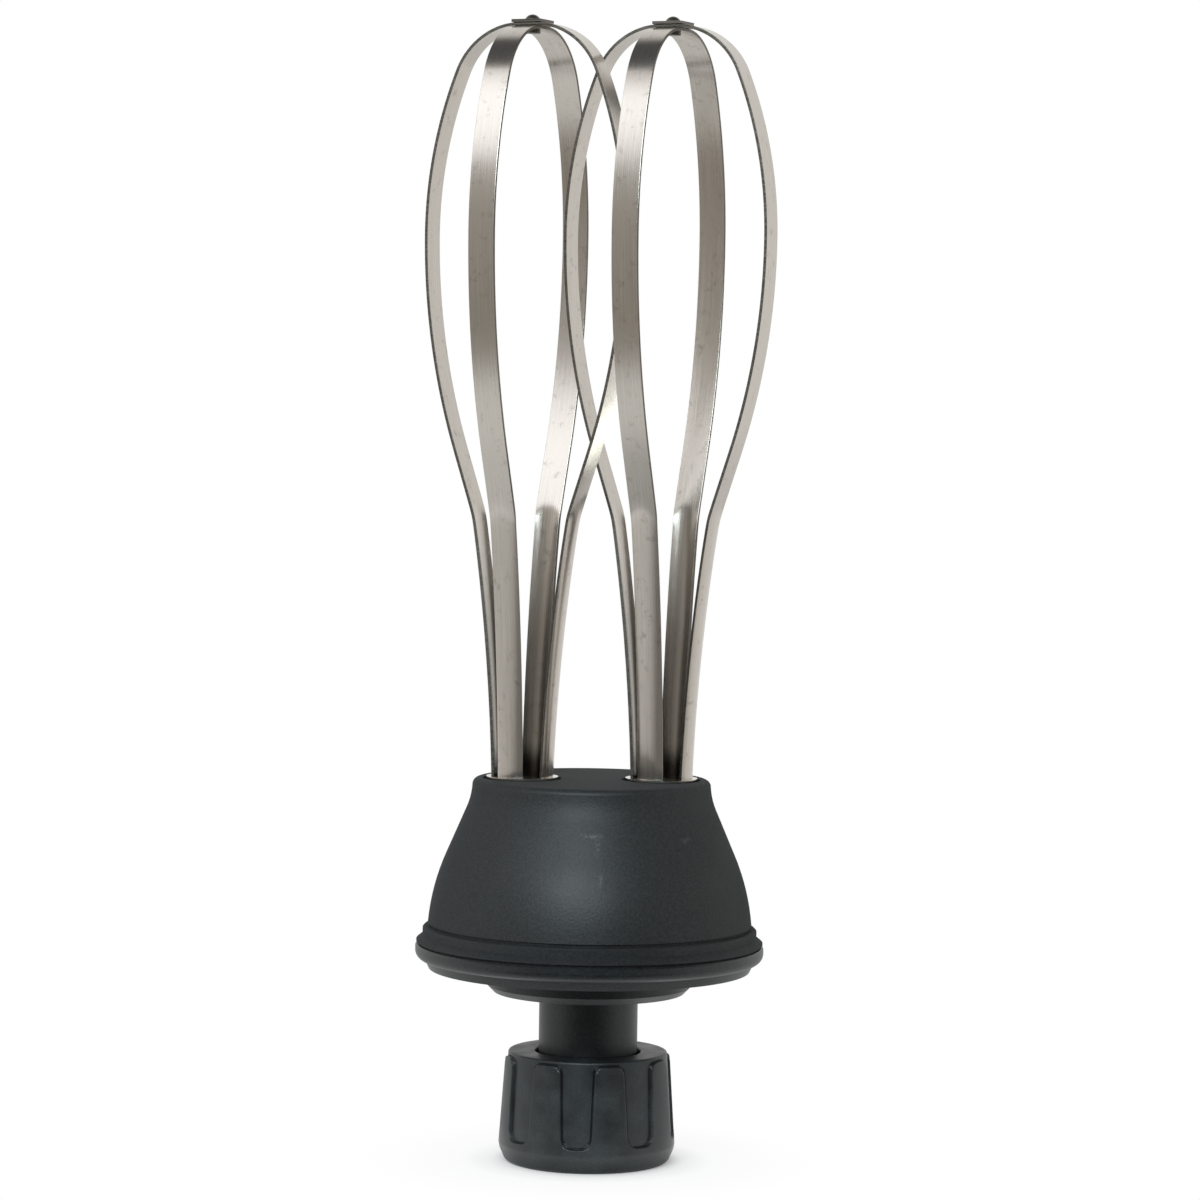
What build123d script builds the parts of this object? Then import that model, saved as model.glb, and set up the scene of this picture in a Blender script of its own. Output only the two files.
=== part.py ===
from build123d import *
import math
import os

# Twin whisk attachment for an immersion blender. Millimetres and degrees.
# It stands on its coupling nut with the whisks up. Z is the drive axis and the whisks are at -X and +X.

# Whisk strips
whisk_spacing = 30.0        # between the two whisk axes
whisk_turn = -24.5          # turn of each whisk from square on
strip_width = 6.0
strip_thickness = 0.7
apex_rise = 161.8           # outer face of the upper strip, above the housing's top
belly_rise = 116.6          # widest point of a loop, above the housing's top
belly_radius = 23.7         # outer face of a loop at its widest point
side_radius = 92.0          # bend of a loop above its widest point
flare_radius = 146.0        # bend of a loop below its widest point
flare_angle = 18.5          # lean of the straight run above the crease
crease_rise = 58.3          # where the flat strip turns into a gutter, above the housing's top
stem_radius = 6.7           # outer face of the gutters where they leave the ferrule
stem_lean = 1.7
leg_depth = 5.0             # how far the legs reach into the ferrule
blend_run = 4.5             # flat strip and gutter run this far into each other at the crease
crossing_flat = 1.8         # half of the flat at the crossing
crossing_ease = 0.05        # the lower strip springs this far clear of the upper one at the crossing

# Whisk tip and ferrule
tip_plate_side = 6.8
tip_plate_thickness = 0.6
rivet_radius = 1.2
rivet_head_radius = 1.7
rivet_dome = 1.2
rivet_foot = 0.8
ferrule_wall = 1.05
ferrule_proud = 0.4

# Spindles
spindle_radius = 4.0
spindle_flats = 6.6         # across the two flats that drive the gear
spindle_end_radius = 3.0
clip_thickness = 1.0
clip_width = 2.0
clip_groove_depth = 0.5
clip_opening = 60.0

# Gears
pressure_angle = 20.0
whisk_gear_teeth = 30
pinion_teeth = 8
reduction_teeth = 32
pinion_shift = 0.5
backlash = 0.16
addendum = 0.9
pinion_addendum = 0.75
dedendum = 1.15
gear_width = 5.0
gear_level_gap = 0.5

# Bushes and seals
bush_flange = 0.8
bush_wall = 2.0
bush_flange_width = 1.5
bush_seal_gap = 2.9
lower_bush_depth = 3.4
seal_height = 4.0
seal_width = 3.5

# Gear housing
housing_height = 35.3
gear_room = 1.65            # between the whisk gears and the bell's foot
foot_rise = 4.0
lip_flare = 2.45            # lip beyond the bell's foot
lip_edge = 0.3
bead_flare = 1.1            # bead beyond the bell's foot
bead_bottom = 1.4
bead_top = 3.2
bead_edge = 0.35            # chamfer on the bead's top
crease_depth = 0.5          # sharp crease between bead and bell
crease_edge = 0.1
crown_land = 2.18           # bell's top edge beyond the whisk pockets
waist_flare = 1.2           # waist beyond the crown
waist_drop = 6.4            # waist below the top
knee_flare = 4.3            # knee beyond the waist
knee_drop = 16.4            # knee below the top
top_round = 1.3
housing_wall = 2.4
skirt_wall = 3.9
roof_thickness = 3.0
pocket_gap = 0.75           # dark ring between ferrule and housing
pocket_depth = 6.4
bearing_boss_wall = 3.2

# Gear cover and neck
neck_gap = 12.85            # neck seen between nut and cover
neck_radius = 10.66
neck_end_radius = 9.6
hub_land = 2.0              # hub beyond the spindle bushes
hub_chamfer = 1.4
hub_height = 5.0
tier_height = 1.85
tier_inset = 2.9            # lower tier inside the rim
cone_inset = 2.0
rim_flare = 0.2             # rim beyond the housing's lip
rim_height = 3.4
rim_round = 2.0
rim_edge = 0.4
floor_thickness = 2.65
spigot_wall = 1.6
spigot_height = 2.5
gasket_thickness = 0.5
gasket_inset = 0.5

# Cover screws
screw_count = 4
screw_boss_gap = 0.4        # between the screw bosses and the cover's spigot
screw_radius = 1.45
screw_length = 11.0
screw_head_radius = 2.9
screw_head_height = 1.4
screw_boss_wall = 1.7
screw_boss_drop = 4.0       # screw bosses end this far below the bell's knee
screw_slot_width = 0.9
screw_slot_depth = 0.8

# Drive
drive_radius = 2.5
drive_bush_wall = 3.0
upper_drive_bush_length = 5.5
lower_drive_bush_length = 6.0
drive_bush_flange = 0.5
coupling_radius = 6.2
coupling_length = 8.7
socket_flats = 7.0
socket_depth = 5.5
coupling_pin_radius = 0.8

# Coupling nut
nut_height = 23.9
nut_top_radius = 17.8
nut_ring_radius = 19.1
nut_ring_rise = 3.4
nut_foot_radius = 17.6
nut_bore_radius = 14.5
nut_mouth_chamfer = 0.8
nut_counterbore_radius = 11.45
nut_counterbore_depth = 2.0
nut_shoulder = 3.5
flute_count = 8
flute_turn = -6.75
flute_depth = 0.65
flute_top_width = 7.4
flute_bottom_width = 6.6
flute_foot = 5.4
flute_corner = 2.4
pad_top_gap = 1.0
pad_corner = 1.5
ring_thickness = 1.0
ring_width = 3.6
ring_groove_depth = 0.9
ring_opening = 50.0
neck_end_gap = 2.5          # neck end below the nut's shoulder

# Clearances
press_gap = 0.02            # between pieces that are pressed or crimped together
running_gap = 0.03          # between a journal and its bush
free_gap = 0.3              # between other pieces that turn past each other

# Levels, from the table up
shoulder_top = nut_height - nut_counterbore_depth
shoulder_bottom = shoulder_top - nut_shoulder
neck_end = shoulder_bottom - neck_end_gap
hub_level = nut_height + neck_gap
tier_level = hub_level + hub_height
cone_level = tier_level + tier_height
rim_level = cone_level + rim_height
floor_level = tier_level + floor_thickness
seat_level = rim_level + gasket_thickness
top_level = seat_level + housing_height
low_gear_level = floor_level + bush_flange
high_gear_level = low_gear_level + gear_width + gear_level_gap
gear_top = high_gear_level + gear_width
boss_level = gear_top + bush_flange
pocket_level = top_level - pocket_depth
seal_level = pocket_level - seal_height
lower_bush_level = floor_level - lower_bush_depth
ring_level = shoulder_bottom - free_gap - ring_thickness
coupling_level = neck_end + free_gap
coupling_top = coupling_level + coupling_length
socket_top = coupling_level + socket_depth
lower_drive_level = coupling_top + free_gap
pinion_level = floor_level + drive_bush_flange
apex_level = top_level + apex_rise
lower_apex_level = apex_level - strip_thickness - crossing_ease
belly_level = top_level + belly_rise
crease_level = top_level + crease_rise
root_level = top_level + ferrule_proud
leg_level = root_level - leg_depth

# Sizes that follow
whisk_x = whisk_spacing / 2
ferrule_bore = stem_radius + press_gap
ferrule_radius = ferrule_bore + ferrule_wall
pocket_radius = ferrule_radius + pocket_gap
plug_radius = stem_radius - strip_thickness - press_gap
plug_level = pocket_level + free_gap
bush_radius = spindle_radius + bush_wall
lower_bush_radius = spindle_end_radius + bush_wall
seal_radius = spindle_radius + seal_width
bearing_boss_radius = seal_radius + bearing_boss_wall
drive_bush_radius = drive_radius + drive_bush_wall
neck_bore = coupling_radius + free_gap
whisk_module = whisk_spacing / whisk_gear_teeth
drive_module = whisk_spacing / (pinion_teeth + reduction_teeth)
gear_reach = whisk_x + whisk_module * (whisk_gear_teeth / 2 + addendum)
foot_radius = gear_reach + gear_room + housing_wall
lip_radius = foot_radius + lip_flare
bead_radius = foot_radius + bead_flare
crown_radius = whisk_x + pocket_radius + crown_land
waist_radius = crown_radius + waist_flare
knee_radius = waist_radius + knee_flare
waist_level = top_level - waist_drop
knee_level = top_level - knee_drop
screw_boss_top = knee_level - screw_boss_drop
hub_radius = whisk_x + lower_bush_radius + hub_land
rim_radius = lip_radius + rim_flare
cone_radius = rim_radius - cone_inset
tier_radius = rim_radius - tier_inset
upper_bush_top = seal_level - bush_seal_gap
skirt_radius = lip_radius - skirt_wall
spigot_radius = skirt_radius - free_gap / 2
spigot_bore = spigot_radius - spigot_wall
screw_hole = screw_radius + press_gap
screw_boss_radius = screw_radius + screw_boss_wall
screw_circle = spigot_bore - screw_boss_radius - screw_boss_gap
clip_groove = spindle_end_radius - clip_groove_depth
clip_radius = clip_groove + clip_width
ring_groove = neck_end_radius - ring_groove_depth
ring_radius = ring_groove + ring_width


def rod(radius, bottom, top, x=0.0):
    solid = Cylinder(radius, top - bottom, align=(Align.CENTER, Align.CENTER, Align.MIN))
    return Pos(x, 0, bottom) * solid


def tube(outer, inner, bottom, top, x=0.0):
    return rod(outer, bottom, top, x) - rod(inner, bottom, top, x)


def turned(*outline):
    # Solid of revolution about Z from edges drawn in radius and height.
    return revolve(Plane.XZ * make_face(outline), Axis.Z)


def open_ring(outer, inner, bottom, top, opening):
    # Spring ring with a wedge cut out of it.
    reach = 2 * outer
    half = math.radians(opening / 2)
    side = (reach * math.cos(half), reach * math.sin(half))
    wedge = make_face(Polyline((0, 0), side, (side[0], -side[1]), close=True))
    return tube(outer, inner, bottom, top) - Pos(0, 0, bottom) * extrude(wedge, top - bottom)


# Whisks

def loop_solid(apex, inset):
    # Filled outline of a strip loop, a little inside its outer face. Arcs meet in line with each other.
    rise = apex - belly_level
    reach = belly_radius - crossing_flat
    tip_radius = (side_radius**2 - (side_radius - reach) ** 2 - rise**2) / (2 * (side_radius - rise))
    tip_centre = (crossing_flat, apex - tip_radius)
    side_centre = (belly_radius - side_radius, belly_level)
    flare_centre = (belly_radius - flare_radius, belly_level)
    shoulder = math.degrees(math.atan2(tip_centre[1] - side_centre[1], tip_centre[0] - side_centre[0]))
    flare = CenterArc(flare_centre, flare_radius - inset, 0, -flare_angle)
    run_top = flare @ 1
    run = (run_top.Y - crease_level + blend_run) / math.cos(math.radians(flare_angle))
    half = [
        Line((0, apex - inset), (crossing_flat, apex - inset)),
        CenterArc(tip_centre, tip_radius - inset, 90, shoulder - 90),
        CenterArc(side_centre, side_radius - inset, shoulder, -shoulder),
        flare,
        Line(run_top, run_top + run * (flare % 1)),
    ]
    other_half = [mirror(edge, about=Plane.YZ) for edge in half]
    foot = Line(half[-1] @ 1, other_half[-1] @ 1)
    return extrude(Plane.XZ * make_face([*half, *other_half, foot]), strip_width / 2, both=True)


def crease_radius():
    # Outer face of the straight run at the height of the crease.
    lean = math.radians(flare_angle)
    run_top = belly_level - flare_radius * math.sin(lean)
    return belly_radius - flare_radius * (1 - math.cos(lean)) - (run_top - crease_level) * math.tan(lean)


def stem_solid(inset):
    # Filled outline of the gutters: upright in the ferrule, then bending outwards to the crease.
    out = crease_radius() - stem_radius
    up = crease_level - root_level
    turn = math.degrees(math.atan2(out, up)) - stem_lean
    bend = math.hypot(out, up) / (2 * math.sin(math.radians(turn)))
    lean = math.radians(stem_lean)
    centre = (stem_radius + bend * math.cos(lean), root_level - bend * math.sin(lean))
    overrun = math.degrees(blend_run / bend)
    arc = CenterArc(centre, bend + inset, 180 - stem_lean, -(2 * turn + overrun))
    root = arc @ 0
    head = arc @ 1
    return turned(
        Line((0, leg_level), (root.X, leg_level)),
        Line((root.X, leg_level), root),
        arc,
        Line(head, (0, head.Y)),
        Line((0, head.Y), (0, leg_level)),
    )


def strip_band(apex):
    # One strip bent into a loop: flat above the crease, pressed into gutters round the axis below it.
    slab = Pos(0, 0, apex / 2) * Box(4 * belly_radius, strip_width, 2 * apex)
    outer = loop_solid(apex, 0) + (stem_solid(0) & slab)
    inner = loop_solid(apex, strip_thickness) + (stem_solid(strip_thickness) & slab)
    rivet_hole = rod(rivet_radius + press_gap, apex - 2 * strip_thickness, apex + strip_thickness)
    return outer - inner - rivet_hole


def tip_plate():
    plate = Box(tip_plate_side, tip_plate_side, tip_plate_thickness)
    plate = Pos(0, 0, apex_level + tip_plate_thickness / 2) * plate
    return plate - rod(rivet_radius + press_gap, apex_level, apex_level + tip_plate_thickness)


def tip_rivet():
    head_level = apex_level + tip_plate_thickness
    foot_level = lower_apex_level - strip_thickness
    cap = (rivet_head_radius**2 + rivet_dome**2) / (2 * rivet_dome)
    start = math.degrees(math.asin((cap - rivet_dome) / cap))
    dome = CenterArc((0, head_level + rivet_dome - cap), cap, start, 90 - start)
    head = turned(dome, Line(dome @ 1, (0, head_level)), Line((0, head_level), dome @ 0))
    foot = rod(rivet_head_radius, foot_level - rivet_foot, foot_level)
    return head + rod(rivet_radius, foot_level, head_level) + foot


def spindle():
    plug = rod(plug_radius, plug_level, top_level - free_gap)
    journal = rod(spindle_radius, gear_top, plug_level)
    flats = Pos(0, 0, (gear_top + low_gear_level) / 2) * Box(
        2 * spindle_radius, spindle_flats, gear_top - low_gear_level
    )
    clip_top = low_gear_level + free_gap + clip_thickness
    drive = rod(spindle_radius, clip_top, gear_top) & flats
    end = rod(spindle_end_radius, lower_bush_level + free_gap, clip_top)
    groove_level = low_gear_level + free_gap
    groove = tube(spindle_radius, clip_groove, groove_level, groove_level + clip_thickness)
    return plug + journal + drive + (end - groove)


def gear_clip():
    level = low_gear_level + free_gap
    return open_ring(clip_radius, clip_groove + press_gap, level, level + clip_thickness, clip_opening)


# Gears

def involute(angle):
    return math.tan(angle) - angle


def gear_solid(teeth, shift, tip, module, bottom, top, turn):
    # Spur gear with involute flanks, each drawn as one arc through root, middle and tip.
    pitch = teeth * module / 2
    root = pitch - module * (dedendum - shift)
    tip_radius = pitch + module * (tip + shift)
    angle = math.radians(pressure_angle)
    base = pitch * math.cos(angle)
    half_tooth = (math.pi / 2 + 2 * shift * math.tan(angle)) / teeth - backlash / (4 * pitch)

    def flank_angle(radius):
        return half_tooth + involute(angle) - involute(math.acos(min(1, base / radius)))

    radii = [root, (max(root, base) + tip_radius) / 2, tip_radius]
    flank = [(radius, flank_angle(radius)) for radius in radii]
    edges = []
    for tooth in range(teeth):
        middle = 2 * math.pi * tooth / teeth + math.radians(turn)
        rising = [(r * math.cos(middle - a), r * math.sin(middle - a)) for r, a in flank]
        falling = [(r * math.cos(middle + a), r * math.sin(middle + a)) for r, a in flank]
        following = middle + 2 * math.pi / teeth - flank[0][1]
        edges.append(ThreePointArc(*rising))
        edges.append(Line(rising[2], falling[2]))
        edges.append(ThreePointArc(*reversed(falling)))
        edges.append(Line(falling[0], (root * math.cos(following), root * math.sin(following))))
    return Pos(0, 0, bottom) * extrude(make_face(edges), top - bottom)


def gear_bore():
    # Bore with two flats, and a recess below it for the clip.
    seat = low_gear_level + free_gap + clip_thickness
    flats = Pos(0, 0, (seat + gear_top) / 2) * Box(
        3 * spindle_radius, spindle_flats + 2 * press_gap, gear_top - seat
    )
    bore = rod(spindle_radius + press_gap, seat, gear_top) & flats
    return bore + rod(clip_radius + free_gap, low_gear_level, seat)


def whisk_gear(turn):
    return gear_solid(whisk_gear_teeth, 0, addendum, whisk_module, high_gear_level, gear_top, turn)


def left_cluster_gear():
    # A whisk gear and the large reduction gear, made as one.
    large_top = low_gear_level + gear_width
    large = gear_solid(
        reduction_teeth, -pinion_shift, addendum, drive_module, low_gear_level, large_top, 0
    )
    waist = rod(clip_radius + bush_flange_width + bush_wall, low_gear_level, gear_top)
    return whisk_gear(0) + large + waist - gear_bore()


def right_gear():
    hub = rod(clip_radius + bush_flange_width + bush_wall, low_gear_level, gear_top)
    half_pitch = 180 / whisk_gear_teeth
    return whisk_gear(180 + half_pitch) + hub - gear_bore()


def drive_pinion_shaft():
    top = low_gear_level + gear_width
    turn = 180 + 180 / pinion_teeth
    pinion = gear_solid(
        pinion_teeth, pinion_shift, pinion_addendum, drive_module, pinion_level, top, turn
    )
    shaft = rod(drive_radius, socket_top, pinion_level)
    return pinion + shaft - coupling_pin()


def drive_coupling():
    body = rod(coupling_radius, coupling_level, coupling_top)
    hexagon = RegularPolygon(socket_flats / 2, 6, major_radius=False)
    socket = Pos(0, 0, coupling_level) * extrude(hexagon, socket_depth)
    return body - socket - rod(drive_radius + press_gap, socket_top, coupling_top) - coupling_pin()


def coupling_pin(radius=coupling_pin_radius + press_gap):
    length = 2 * coupling_radius - free_gap
    return Pos(0, 0, (socket_top + coupling_top) / 2) * Rot(90, 0, 0) * Cylinder(radius, length)


# Gear housing

def housing_outline():
    rise = seat_level
    lip = (lip_radius, rise)
    lip_top = (lip_radius, rise + lip_edge)
    bead_low = (bead_radius, rise + bead_bottom)
    bead_high = (bead_radius, rise + bead_top - bead_edge)
    bead_edge_top = (bead_radius - bead_edge, rise + bead_top)
    crease_low = (foot_radius - crease_depth, rise + bead_top + crease_edge)
    crease_high = (foot_radius - crease_depth, rise + foot_rise - crease_edge)
    foot = (foot_radius, rise + foot_rise)
    knee = Vector(knee_radius, knee_level)
    waist = Vector(waist_radius, waist_level)
    crown = (crown_radius, top_level - top_round)
    round_centre = (crown_radius - top_round, top_level - top_round)
    return [
        Polyline((0, rise), lip, lip_top, bead_low, bead_high, bead_edge_top),
        Polyline(bead_edge_top, crease_low, crease_high, foot),
        TangentArc(knee, foot, tangent=knee - waist),
        Line(knee, waist),
        TangentArc(waist, crown, tangent=waist - knee),
        CenterArc(round_centre, top_round, 0, 90),
        Polyline((crown_radius - top_round, top_level), (0, top_level), (0, rise)),
    ]


def housing_cavity():
    # Room for the gears, one wall thickness inside the bell.
    ledge = seat_level + spigot_height
    foot = (foot_radius - housing_wall, ledge)
    knee = Vector(knee_radius - housing_wall, knee_level)
    waist = Vector(waist_radius - housing_wall, waist_level)
    roof = top_level - roof_thickness
    return turned(
        Polyline((0, roof), (0, seat_level), (skirt_radius, seat_level), (skirt_radius, ledge), foot),
        TangentArc(knee, foot, tangent=knee - waist),
        Line(knee, waist),
        Polyline(waist, (crown_radius - housing_wall, roof), (0, roof)),
    )


def gear_housing():
    shell = turned(*housing_outline())
    shell -= housing_cavity()
    boss_top = top_level - roof_thickness / 2
    for x in (-whisk_x, whisk_x):
        shell += rod(bearing_boss_radius, boss_level, boss_top, x)
    for x in (-whisk_x, whisk_x):
        shell -= rod(pocket_radius, pocket_level, top_level, x)
        shell -= rod(seal_radius + press_gap, seal_level, pocket_level, x)
        shell -= rod(spindle_radius + free_gap, boss_level, seal_level, x)
        shell -= rod(bush_radius + press_gap, boss_level, upper_bush_top, x)
    for place in PolarLocations(screw_circle, screw_count, 180 / screw_count):
        shell += place * rod(screw_boss_radius, floor_level, screw_boss_top)
        shell -= place * rod(screw_hole, floor_level, floor_level + screw_length)
    return shell


# Gear cover with its neck

def cover_outline():
    rim_bottom = (rim_radius, cone_level + rim_round)
    rim_bulge = TangentArc(rim_bottom, (cone_radius, cone_level), tangent=(0, -1))
    return [
        Polyline(
            (0, floor_level),
            (0, neck_end),
            (neck_end_radius, neck_end),
            (neck_end_radius, shoulder_top),
            (neck_radius, shoulder_top),
            (neck_radius, hub_level),
            (hub_radius - hub_chamfer, hub_level),
            (hub_radius, hub_level + hub_chamfer),
            (hub_radius, tier_level),
            (tier_radius, tier_level),
            (cone_radius, cone_level),
        ),
        rim_bulge,
        Polyline(
            rim_bottom,
            (rim_radius, rim_level - rim_edge),
            (rim_radius - rim_edge, rim_level),
            (spigot_radius, rim_level),
            (spigot_radius, rim_level + spigot_height),
            (spigot_bore, rim_level + spigot_height),
            (spigot_bore, floor_level),
            (0, floor_level),
        ),
    ]


def gear_cover():
    cover = turned(*cover_outline())
    cover -= tube(neck_radius, ring_groove, ring_level, ring_level + ring_thickness)
    cover -= rod(neck_bore, neck_end, lower_drive_level)
    lower_drive_top = lower_drive_level + lower_drive_bush_length
    cover -= rod(drive_bush_radius + press_gap, lower_drive_level, lower_drive_top)
    cover -= rod(drive_radius + free_gap, lower_drive_level, floor_level)
    cover -= rod(drive_bush_radius + press_gap, floor_level - upper_drive_bush_length, floor_level)
    for x in (-whisk_x, whisk_x):
        cover -= rod(lower_bush_radius + press_gap, lower_bush_level, floor_level, x)
    for place in PolarLocations(screw_circle, screw_count, 180 / screw_count):
        cover -= place * rod(screw_hole, tier_level, floor_level)
        cover -= place * rod(screw_head_radius + free_gap, tier_level, tier_level + screw_head_height)
    return cover


def cover_gasket():
    return tube(rim_radius - rim_edge - gasket_inset, spigot_radius + free_gap, rim_level, seat_level)


def cover_screws():
    # Pan heads with a cross recess, set into the cover from below.
    head_top = tier_level + screw_head_height
    head = rod(screw_head_radius, tier_level, head_top)
    slot = Box(screw_head_radius, screw_slot_width, screw_slot_depth)
    slot = Pos(0, 0, tier_level + screw_slot_depth / 2) * slot
    head = head - slot - Rot(0, 0, 90) * slot
    screw = head + rod(screw_radius, head_top, floor_level + screw_length - free_gap)
    places = PolarLocations(screw_circle, screw_count, 180 / screw_count)
    return Compound([place * screw for place in places])


# Bushes, seals and ring

def upper_bush(x):
    bush = rod(bush_radius, boss_level, upper_bush_top, x)
    bush += rod(bush_radius + bush_flange_width, gear_top, boss_level, x)
    return bush - rod(spindle_radius + running_gap, gear_top, upper_bush_top, x)


def lower_bush(x):
    bush = rod(lower_bush_radius, lower_bush_level, floor_level, x)
    bush += rod(clip_radius + free_gap + bush_flange_width, floor_level, low_gear_level, x)
    return bush - rod(spindle_end_radius + running_gap, lower_bush_level, low_gear_level, x)


def lip_seal(x):
    # Lip at the top, spring groove behind it.
    body = tube(seal_radius, spindle_radius + 2 * running_gap, seal_level, pocket_level, x)
    groove_depth = seal_height / 2
    groove_radius = (seal_radius + spindle_radius) / 2
    groove_width = seal_width / 3
    groove = tube(
        groove_radius + groove_width / 2,
        groove_radius - groove_width / 2,
        pocket_level - groove_depth,
        pocket_level,
        x,
    )
    return body - groove


def upper_drive_bush():
    bush = rod(drive_bush_radius, floor_level - upper_drive_bush_length, floor_level)
    bush += rod(drive_bush_radius + bush_flange, floor_level, pinion_level)
    return bush - rod(drive_radius + running_gap, floor_level - upper_drive_bush_length, pinion_level)


def lower_drive_bush():
    top = lower_drive_level + lower_drive_bush_length
    return tube(drive_bush_radius, drive_radius + running_gap, lower_drive_level, top)


def nut_retaining_ring():
    top = ring_level + ring_thickness
    return open_ring(ring_radius, ring_groove + press_gap, ring_level, top, ring_opening)


# Coupling nut

def nut_outline(inset):
    # Barrel that narrows towards the top, drawn a little inside its outer face.
    return turned(
        Polyline(
            (0, 0),
            (nut_foot_radius - inset, 0),
            (nut_ring_radius - inset, nut_ring_rise),
            (nut_top_radius - inset, nut_height),
            (0, nut_height),
            close=True,
        )
    )


def flute_cutter():
    # U-shaped flute that opens at its top into the plain band above the grip pads.
    band = nut_height - pad_top_gap
    top = flute_top_width / 2
    bottom = flute_bottom_width / 2
    flare = top + pad_corner
    low = flute_foot + flute_corner
    outline = [
        Polyline((flare, band), (flare, nut_height), (-flare, nut_height), (-flare, band)),
        TangentArc((-flare, band), (-top, band - pad_corner), tangent=(1, 0)),
        Line((-top, band - pad_corner), (-bottom, low)),
        TangentArc((flute_corner - bottom, flute_foot), (-bottom, low), tangent=(-1, 0)),
        Line((flute_corner - bottom, flute_foot), (bottom - flute_corner, flute_foot)),
        TangentArc((bottom - flute_corner, flute_foot), (bottom, low), tangent=(1, 0)),
        Line((bottom, low), (top, band - pad_corner)),
        TangentArc((flare, band), (top, band - pad_corner), tangent=(-1, 0)),
    ]
    return extrude(Plane.XZ * make_face(outline), 2 * nut_ring_radius)


def coupling_nut():
    barrel = nut_outline(0)
    core = nut_outline(flute_depth)
    band_cut = rod(2 * nut_ring_radius, nut_height - pad_top_gap, nut_height) - core
    nut = barrel - band_cut
    cutter = flute_cutter() - core
    for flute in range(flute_count):
        nut -= Rot(0, 0, flute_turn + flute * 360 / flute_count) * cutter
    nut -= rod(nut_bore_radius, 0, neck_end - free_gap)
    nut -= rod(ring_radius + 2 * free_gap, 0, shoulder_bottom)
    mouth = Cone(nut_bore_radius + nut_mouth_chamfer, nut_bore_radius, nut_mouth_chamfer)
    nut -= Pos(0, 0, nut_mouth_chamfer / 2) * mouth
    nut -= rod(neck_end_radius + free_gap, shoulder_bottom, shoulder_top)
    return nut - rod(nut_counterbore_radius, shoulder_top, nut_height)


def whisk_nodes(side, x, gear):
    # Pieces of one whisk, drawn on its own axis and then set in place.
    place = Pos(x, 0, 0)
    turned_place = place * Rot(0, 0, whisk_turn)
    crossed_place = place * Rot(0, 0, whisk_turn + 90)
    return {
        f"{side}_upper_strip": turned_place * strip_band(apex_level),
        f"{side}_lower_strip": crossed_place * strip_band(lower_apex_level),
        f"{side}_tip_plate": turned_place * tip_plate(),
        f"{side}_tip_rivet": place * tip_rivet(),
        f"{side}_ferrule": place * tube(ferrule_radius, ferrule_bore, plug_level, root_level),
        f"{side}_spindle": place * spindle(),
        f"{side}_gear_clip": place * gear_clip(),
        gear[0]: place * gear[1],
        f"{side}_upper_bush": upper_bush(x),
        f"{side}_lower_bush": lower_bush(x),
        f"{side}_lip_seal": lip_seal(x),
    }


nodes = {
    "coupling_nut": coupling_nut(),
    "nut_retaining_ring": nut_retaining_ring(),
    "gear_cover": gear_cover(),
    "cover_gasket": cover_gasket(),
    "cover_screws": cover_screws(),
    "gear_housing": gear_housing(),
    "drive_coupling": drive_coupling(),
    "coupling_pin": coupling_pin(coupling_pin_radius),
    "drive_pinion_shaft": drive_pinion_shaft(),
    "upper_drive_bush": upper_drive_bush(),
    "lower_drive_bush": lower_drive_bush(),
    **whisk_nodes("left", -whisk_x, ("left_cluster_gear", left_cluster_gear())),
    **whisk_nodes("right", whisk_x, ("right_gear", right_gear())),
}

os.makedirs("parts", exist_ok=True)
for name, solid in nodes.items():
    export_step(solid, f"parts/{name}.step")
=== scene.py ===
import bpy
import math
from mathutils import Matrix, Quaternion, Vector


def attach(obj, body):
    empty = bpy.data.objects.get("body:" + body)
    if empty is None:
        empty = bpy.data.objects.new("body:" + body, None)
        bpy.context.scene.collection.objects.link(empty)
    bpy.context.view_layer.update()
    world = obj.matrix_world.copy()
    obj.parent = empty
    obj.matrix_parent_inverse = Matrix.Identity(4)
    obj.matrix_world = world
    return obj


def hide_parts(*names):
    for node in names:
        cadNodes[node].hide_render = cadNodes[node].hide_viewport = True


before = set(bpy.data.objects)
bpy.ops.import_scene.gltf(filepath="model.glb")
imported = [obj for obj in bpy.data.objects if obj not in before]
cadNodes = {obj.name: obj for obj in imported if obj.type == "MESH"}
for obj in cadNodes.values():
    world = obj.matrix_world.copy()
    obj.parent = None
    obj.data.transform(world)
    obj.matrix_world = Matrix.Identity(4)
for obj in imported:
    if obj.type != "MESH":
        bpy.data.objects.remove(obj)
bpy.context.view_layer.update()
scene = bpy.context.scene
mm = 0.001
mmPerCm = 10
print("frame loaded:", len(cadNodes), "CAD nodes")


def hexColour(code):
    parts = [int(code[i:i + 2], 16) / 255 for i in (1, 3, 5)]
    linear = [p / 12.92 if p <= 0.04045 else ((p + 0.055) / 1.055) ** 2.4 for p in parts]
    return (*linear, 1.0)


def addNode(tree, kind, settings=None, links=None):
    node = tree.nodes.new(kind)
    for key, value in (settings or {}).items():
        if isinstance(key, int) or key in node.inputs:
            node.inputs[key].default_value = value
        else:
            setattr(node, key, value)
    for key, socket in (links or {}).items():
        tree.links.new(socket, node.inputs[key])
    return node


def startMaterial(name):
    material = bpy.data.materials.new(name)
    material.use_nodes = True
    tree = material.node_tree
    tree.nodes.clear()
    return material, tree


def endMaterial(tree, shader):
    addNode(tree, "ShaderNodeOutputMaterial", links={"Surface": shader.outputs[0]})


def setRamp(node, stops):
    ramp = node.color_ramp
    while len(ramp.elements) < len(stops):
        ramp.elements.new(0.5)
    for element, (place, colour) in zip(ramp.elements, stops):
        element.position = place
        element.color = colour
    return node


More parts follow.
